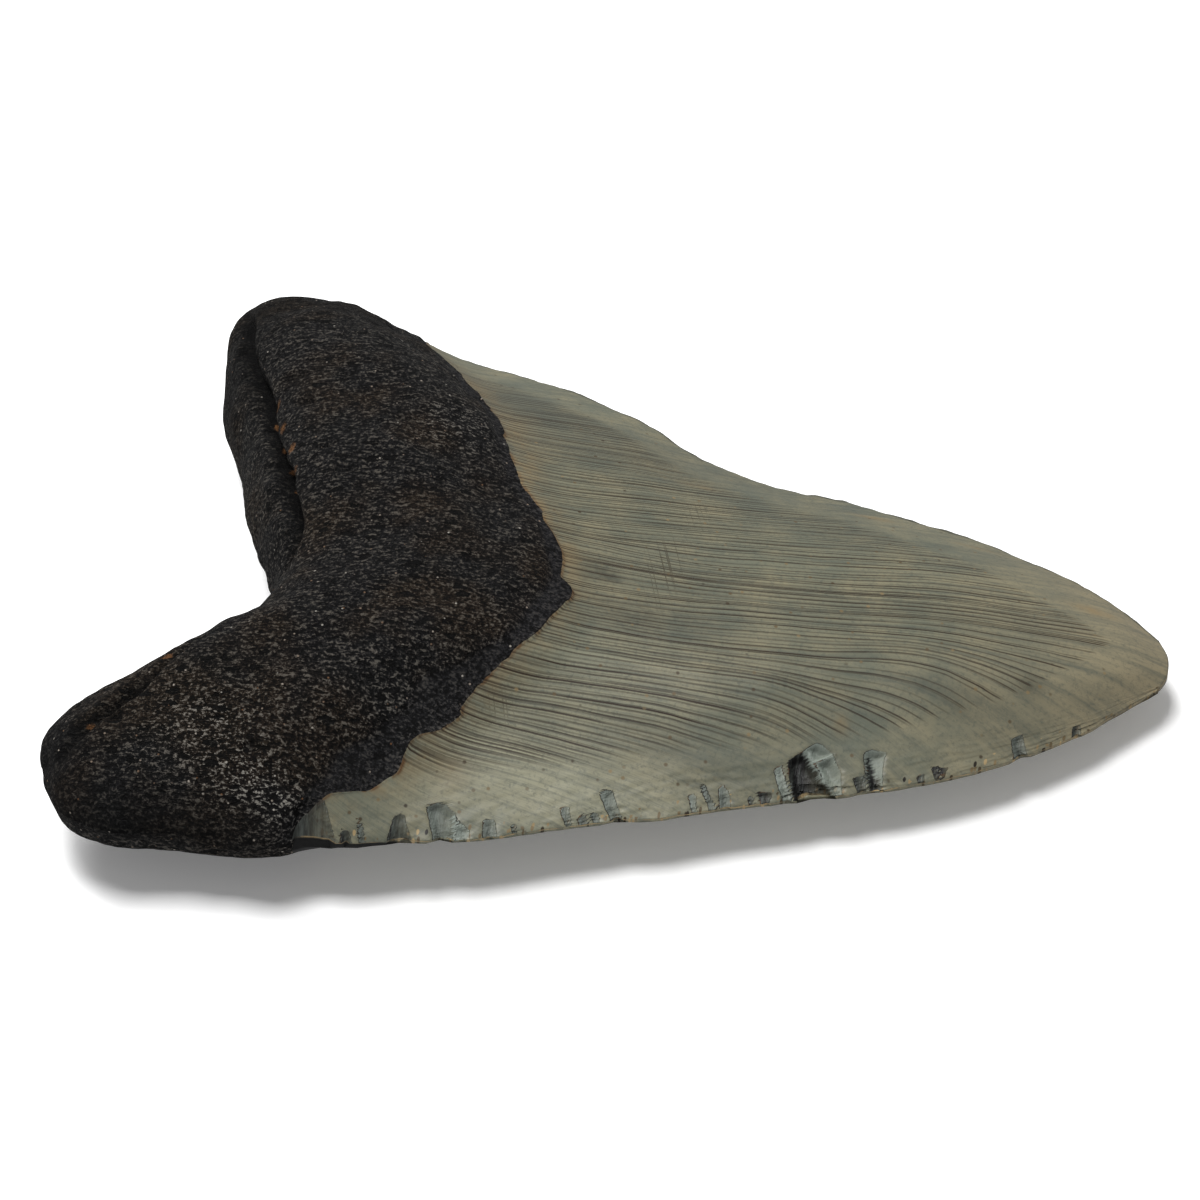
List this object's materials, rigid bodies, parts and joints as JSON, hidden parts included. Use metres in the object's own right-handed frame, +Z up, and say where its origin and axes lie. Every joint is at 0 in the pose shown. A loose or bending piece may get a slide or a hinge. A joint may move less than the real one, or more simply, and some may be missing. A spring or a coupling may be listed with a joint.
{
  "type": "megalodon tooth",
  "caption": "Fossil megalodon tooth lying on its outer face: dark forked root with grooves, grey-green crown with a ledge at the enamel and a chipped edge.",
  "frame": {"origin": "on the surface the tooth rests on, under the middle of its outline", "axes": "+X along the crown to its point, +Y from the near root lobe to the far one, +Z up, out of the inner face"},
  "size_m": [0.1466, 0.1146, 0.0278],
  "materials": {
    "fossil": "satin"
  },
  "bodies": {
    "root": {"tooth": "fossil"}
  },
  "joints": []
}
